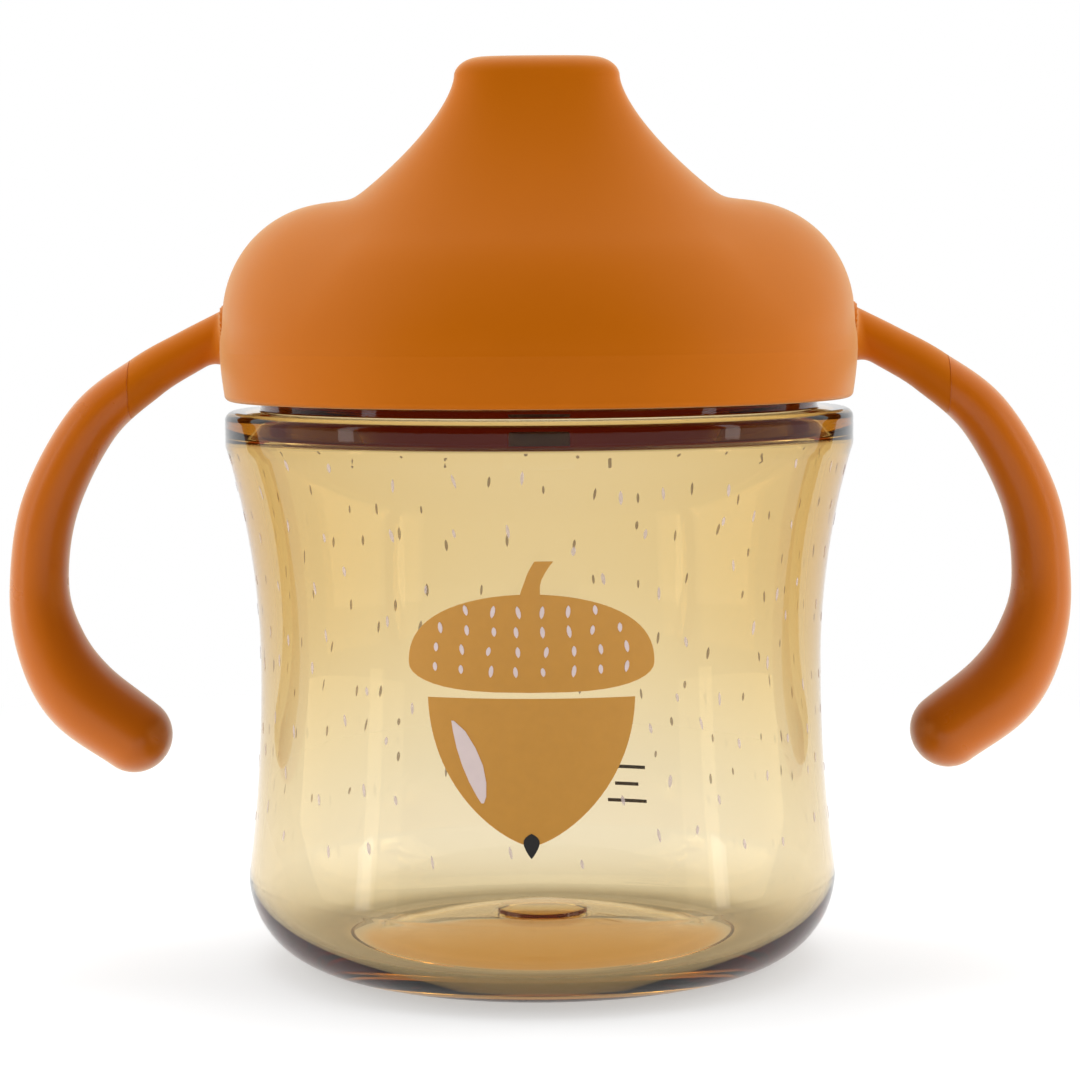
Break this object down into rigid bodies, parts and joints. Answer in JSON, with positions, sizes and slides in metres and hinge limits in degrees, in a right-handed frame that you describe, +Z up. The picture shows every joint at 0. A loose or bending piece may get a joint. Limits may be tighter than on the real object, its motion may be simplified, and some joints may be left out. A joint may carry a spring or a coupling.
{
  "type": "sippy cup",
  "caption": "Two-handled training cup: clear waisted tumbler, screw lid with a flattened drinking spout, C-shaped side handles, rim gasket and spout valve.",
  "frame": {"origin": "centre of the foot, on the surface that the cup stands on", "axes": "+Z up along the cup's axis, +X towards the right handle, the spout leans to -Y"},
  "size_m": [0.1358, 0.0808, 0.1134],
  "materials": {
    "cup_plastic": "clear amber, polished",
    "lid_plastic": "fine matte",
    "grip_plastic": "satin",
    "seal_rubber": "translucent silicone"
  },
  "bodies": {
    "cup": {"cup_body": "cup_plastic"},
    "gasket": {"rim_gasket": "seal_rubber"},
    "lid": {"lid_shell": "lid_plastic", "grip_left": "grip_plastic", "grip_right": "grip_plastic"},
    "valve": {"spout_valve": "seal_rubber"}
  },
  "joints": [
    {"name": "lid_lift", "type": "slide", "parent": "cup", "child": "gasket", "axis": [0, 0, 1], "range_m": [0, 0.012]},
    {"name": "lid_turn", "type": "hinge", "parent": "gasket", "child": "lid", "pos_m": [0, 0, 0.0783], "axis": [0, 0, 1], "range_deg": [0, 1080]},
    {"name": "valve_pull", "type": "slide", "parent": "lid", "child": "valve", "axis": [0, 0, -1], "range_m": [0, 0.014]}
  ],
  "couplings": [
    {"joint": "lid_lift", "follows": "lid_turn", "m_per_rad": 0.00063662}
  ]
}
